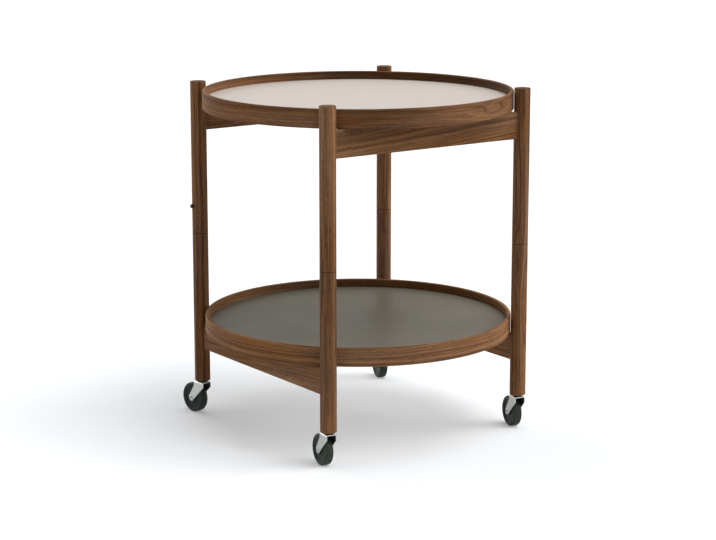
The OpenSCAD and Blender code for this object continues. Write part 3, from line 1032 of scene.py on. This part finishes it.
@dataclass
class SwivelCaster(SubAssembly):
    """Pressed fork, stem, race and moulded wheel under one post. Sizes in millimetres."""

    corner: Corner
    stem_r: float = 4.0
    bore_r: float = 4.05
    flange_t: float = 1.0
    sleeve_r: float = 5.5
    race_top_r: float = 7.0
    race_wall: float = 0.6  # upright share of its height
    head_t: float = 1.6
    hub_play: float = 0.2
    fork_sheet_t: float = 1.6
    fork_edge_r: float = 0.25
    grease_share: float = 0.85
    grease_facing: float = 0.5  # how squarely a face must look inwards to get the painted shade
    rivet_r: float = 3.0
    rivet_head_r: float = 4.0
    rivet_head_t: float = 0.9
    rivet_hole_r: float = 2.2
    rivet_hole_depth: float = 3.0
    tyre_r: float = 25.0
    tyre_seat_r: float = 20.0
    tyre_w: float = 14.0
    shoulder_r: float = 2.5
    bead_w: float = 0.9
    bead_h: float = 0.4
    hub_bore_r: float = 3.06
    boss_r: float = 7.0
    boss_w: float = 14.4
    web_w: float = 11.0
    hub_rim_r: float = 17.5
    hub_rim_w: float = 13.0

    def build(self) -> None:
        """Builds and dresses every piece of the caster."""
        self.socket()
        self.race()
        self.stem()
        self.fork()
        self.axle()
        self.hub()
        self.tyre()

    def node(self, part: str) -> str:
        """Names the CAD node of one of this caster's pieces."""
        return f"{self.corner.value}_{part}"

    def on_axle(self) -> Matrix:
        """Turns the Z axis to the axle's line and moves it to the axle's middle."""
        centre = middle_of(self.node("axle"))
        swivel = middle_of(self.node("stem"))
        heading = math.atan2(centre.y - swivel.y, centre.x - swivel.x)
        headed = Matrix.Translation(centre) @ Matrix.Rotation(heading, 4, "Z")
        return headed @ Matrix.Rotation(math.pi / 2, 4, "X")

    def socket(self) -> None:
        """Turns the sleeve that takes the stem, with its flange under the post."""
        node = self.node("socket")
        flange_r, length = round_size(node)
        shape = turned([
            (self.bore_r, 0, 0), (flange_r, 0, 0.3), (flange_r, self.flange_t, 0.15),
            (self.sleeve_r, self.flange_t, 0), (self.sleeve_r, length, 0), (self.bore_r, length, 0),
        ], segments=3)
        self.place(shape, NYLON, "black_nylon", node, foot_of(node))

    def race(self) -> None:
        """Turns the swivel race between the flange and the fork."""
        node = self.node("race")
        race_r, thick = round_size(node)
        shape = turned([
            (self.bore_r, 0, 0), (race_r, 0, 0.1), (race_r, thick * self.race_wall, 0.15),
            (self.race_top_r, thick, 0.1), (self.bore_r, thick, 0),
        ], segments=3)
        self.place(shape, NYLON, "black_nylon", node, foot_of(node))

    def stem(self) -> None:
        """Turns the stem with its riveted head under the fork's top."""
        node = self.node("stem")
        head_r, length = round_size(node)
        shape = turned([
            (0, 0, 0), (head_r, 0, 0.7), (head_r, self.head_t, 0.1), (self.stem_r, self.head_t, 0),
            (self.stem_r, length, 0.9), (0, length, 0),
        ], steps=64)
        self.place(shape, STEEL, "steel_pin", node, foot_of(node))

    def grease(self, fork: BMesh) -> None:
        """Paints shade on the faces of a fork that look inwards, at the wheel, where the wheel and arms
        shade them.

        The cut edges of its right arm, as the wheel trails, get the painted shade too.

        Args:
            fork: the fork's mesh, in its place.
        """
        wheel = self.on_axle()
        line = wheel.col[2].to_3d()
        inner_side = self.boss_w / 2 + self.hub_play
        left_reach = (inner_side + self.fork_sheet_t / 4) * MM
        right_reach = (inner_side + self.fork_sheet_t) * MM
        greased = fork.loops.layers.float.new("greased")
        fork.normal_update()
        for face in fork.faces:
            offset = (face.calc_center_median() - wheel.translation).dot(line)
            inwards = max(-math.copysign(1.0, offset) * face.normal.dot(line), -face.normal.z)
            # faces between the arms and the wheel get painted shade
            inner = -left_reach < offset < right_reach and inwards > self.grease_facing
            for loop in face.loops:
                loop[greased] = self.grease_share if inner else 0.0

    def fork(self) -> None:
        """Dresses the pressed fork, with its cut edges softened by tumbling."""
        node = self.node("fork")
        shape = merged_copy(node)
        self.grease(shape)
        piece = self.place(shape, ZINC, "zinc_plated_steel", node)
        soft = piece.modifiers.new("Tumbled edges", "BEVEL")
        soft.width = self.fork_edge_r * MM
        soft.segments = 2
        soft.limit_method = "ANGLE"
        soft.angle_limit = SHARP_ANGLE
        piece.modifiers.move(1, 0)

    def axle(self) -> None:
        """Turns the hollow rivet that carries the wheel, with a rolled head on each arm."""
        end = self.boss_w / 2 + self.hub_play + self.fork_sheet_t + self.rivet_head_t
        side = [
            (0, self.rivet_hole_depth - end, 0), (self.rivet_hole_r, self.rivet_hole_depth - end, 0),
            (self.rivet_hole_r, -end, 0.2), (self.rivet_head_r, -end, 0.45),
            (self.rivet_head_r, self.rivet_head_t - end, 0.05), (self.rivet_r, self.rivet_head_t - end, 0),
        ]
        shape = turned(both_sides(side), steps=48, segments=3)
        self.place(shape, RIVET, "steel_pin", self.node("axle"), self.on_axle())

    def hub(self) -> None:
        """Turns the moulded hub: bored boss, web and outer rim."""
        side = [
            (self.hub_bore_r, -self.boss_w / 2, 0.2), (self.boss_r, -self.boss_w / 2, 0.5),
            (self.boss_r, -self.web_w / 2, 0.8), (self.hub_rim_r, -self.web_w / 2, 0.5),
            (self.hub_rim_r, -self.hub_rim_w / 2, 0.3), (self.tyre_seat_r, -self.hub_rim_w / 2, 0.3),
        ]
        shape = turned(both_sides(side), segments=3)
        self.place(shape, HUB_NYLON, "black_nylon", self.node("hub"), self.on_axle())

    def tyre(self) -> None:
        """Turns the tyre with its rounded shoulders and a small bead on each side."""
        side = [
            (self.tyre_seat_r, -self.tyre_w / 2 + self.bead_h, 0.1),
            (self.tyre_seat_r + self.bead_w, -self.tyre_w / 2, 0.3),
            (self.tyre_r, -self.tyre_w / 2, self.shoulder_r),
        ]
        shape = turned(both_sides(side), steps=128, segments=7)
        self.place(shape, RUBBER, "black_rubber", self.node("tyre"), self.on_axle())


# ---- studio


@dataclass(frozen=True)
class Softbox:
    """One large, distant softbox, which lights every place alike.

    turn is its bearing in degrees, from the camera's right towards the back, and rise its height
    above the horizon. share is the light it gives a white surface that faces it, where 1 shows
    as white.
    """

    name: str
    turn: float
    rise: float
    share: float


SOFTBOXES = (
    Softbox("overhead softbox", turn=0.0, rise=72.0, share=0.33),
    Softbox("rear overhead softbox", turn=90.0, rise=72.0, share=0.12),
    Softbox("front softbox", turn=-45.0, rise=48.0, share=0.25),
    Softbox("right softbox", turn=0.0, rise=22.0, share=0.46),
    Softbox("left softbox", turn=180.0, rise=22.0, share=0.22),
    Softbox("rear left softbox", turn=135.0, rise=22.0, share=0.33),
)


@dataclass
class Studio:
    """Camera, pale floor and soft lamps, as in a plain product studio."""

    lens_mm: float = 104.07
    sensor_mm: float = 36.0
    camera_distance: float = 3.3108
    camera_angle: float = math.radians(-125.15)
    camera_height: float = 0.966
    pitch: float = math.radians(12.11)
    floor_size: float = 30.0
    floor_light: float = 0.21
    ambient: float = 0.10
    softbox_width: float = math.radians(40)  # as it looks from the object

    def build(self) -> None:
        """Sets up the camera, floor, world and lamps."""
        self.camera()
        self.floor()
        self.world()
        for softbox in SOFTBOXES:
            self.hang(softbox)

    def camera(self) -> None:
        """Puts the camera at the photograph's viewing angle."""
        data = bpy.data.cameras.new("camera")
        data.lens = self.lens_mm
        data.sensor_width = self.sensor_mm
        camera = bpy.data.objects.new("camera", data)
        bpy.context.scene.collection.objects.link(camera)
        back = Vector((math.cos(self.camera_angle), math.sin(self.camera_angle), 0.0))
        camera.location = back * self.camera_distance + Vector((0, 0, self.camera_height))
        look = -back * math.cos(self.pitch) - Vector((0, 0, math.sin(self.pitch)))
        camera.rotation_mode = "QUATERNION"
        camera.rotation_quaternion = look.to_track_quat("-Z", "Y")
        bpy.context.scene.camera = camera

    def floor(self) -> None:
        """Lays a matt white floor that keeps the object's shadow."""
        shape = bmesh.new()
        bmesh.ops.create_grid(shape, x_segments=1, y_segments=1, size=self.floor_size / 2)
        mesh = bpy.data.meshes.new("floor")
        shape.to_mesh(mesh)
        shape.free()
        floor = bpy.data.objects.new("floor", mesh)
        bpy.context.scene.collection.objects.link(floor)
        paint = bpy.data.materials.new("matt white studio floor")
        paint.use_nodes = True
        tree = paint.node_tree
        tree.nodes.clear()
        matt = add_node(tree, "ShaderNodeBsdfDiffuse", {"Color": linear("#ebeef1")})
        glow = add_node(tree, "ShaderNodeEmission", {
            "Color": (1.0, 1.0, 1.0, 1.0), "Strength": self.seen(tree, self.floor_light),
        })
        both = add_node(tree, "ShaderNodeAddShader", {0: matt.outputs[0], 1: glow.outputs[0]})
        add_node(tree, "ShaderNodeOutputMaterial", {"Surface": both.outputs[0]})
        mesh.materials.append(paint)

    def seen(self, tree: bpy.types.NodeTree, strength: float) -> bpy.types.NodeSocket:
        """Makes a strength that counts only where the camera, metal or glass sees it.

        Args:
            tree: the floor's or the world's tree.
            strength: the strength there. It is 0 for the light on matt surfaces.

        Returns:
            The socket that carries it.
        """
        path = add_node(tree, "ShaderNodeLightPath")
        mirrored = add_node(tree, "ShaderNodeMath", {
            0: path.outputs["Is Camera Ray"], 1: path.outputs["Is Glossy Ray"],
        }, operation="ADD")
        through = add_node(tree, "ShaderNodeMath", {
            0: mirrored.outputs[0], 1: path.outputs["Is Transmission Ray"],
        }, operation="ADD", use_clamp=True)
        shown = add_node(tree, "ShaderNodeMath", {
            0: through.outputs[0], 1: strength,
        }, operation="MULTIPLY")
        return shown.outputs[0]

    def world(self) -> None:
        """Lights the studio's walls evenly, and shows them white."""
        world = bpy.data.worlds.new("studio walls")
        world.use_nodes = True
        tree = world.node_tree
        tree.nodes.clear()
        seen = self.seen(tree, 1.0 - self.ambient)
        strength = add_node(tree, "ShaderNodeMath", {0: seen, 1: self.ambient}, operation="ADD")
        light = add_node(tree, "ShaderNodeBackground", {
            "Color": (1.0, 1.0, 1.0, 1.0), "Strength": strength.outputs[0],
        })
        add_node(tree, "ShaderNodeOutputWorld", {"Surface": light.outputs[0]})
        bpy.context.scene.world = world

    def hang(self, softbox: Softbox) -> None:
        """Hangs one softbox.

        Args:
            softbox: its place and light.
        """
        bearing = self.camera_angle + math.pi / 2 + math.radians(softbox.turn)
        lift = math.radians(softbox.rise)
        level = math.cos(lift)
        towards = Vector((math.cos(bearing) * level, math.sin(bearing) * level, math.sin(lift)))
        data = bpy.data.lights.new(softbox.name, "SUN")
        data.angle = self.softbox_width
        data.energy = softbox.share * math.pi
        lamp = bpy.data.objects.new(softbox.name, data)
        bpy.context.scene.collection.objects.link(lamp)
        lamp.rotation_mode = "QUATERNION"
        lamp.rotation_quaternion = (-towards).to_track_quat("-Z", "Y")


# ---- the whole trolley


def main() -> None:
    """Builds the studio and the trolley, and reports each piece."""
    logging.basicConfig(level=logging.INFO, format="%(name)s: %(message)s")
    bpy.context.scene.view_settings.view_transform = "Standard"
    timber = Timber({
        "front_left": 8, "front_right": 6, "back_right": 10, "back_left": 5,
        "front_upper_rail": 10, "back_upper_rail": 11, "left_lower_rail": 10, "right_lower_rail": 6,
        "upper_rim": 4, "lower_rim": 6,
    })
    Studio().build()
    FoldingFrame(timber).build()
    RoundTray(Tier.UPPER, Sheet.PALE, Sheet.DARK, inner_painted_shade=0.6, timber=timber).build()
    RoundTray(Tier.LOWER, Sheet.DARK, Sheet.PALE, inner_painted_shade=0.35, timber=timber).build()
    for corner in Corner:
        SwivelCaster(corner).build()


if __name__ == "__main__":
    main()
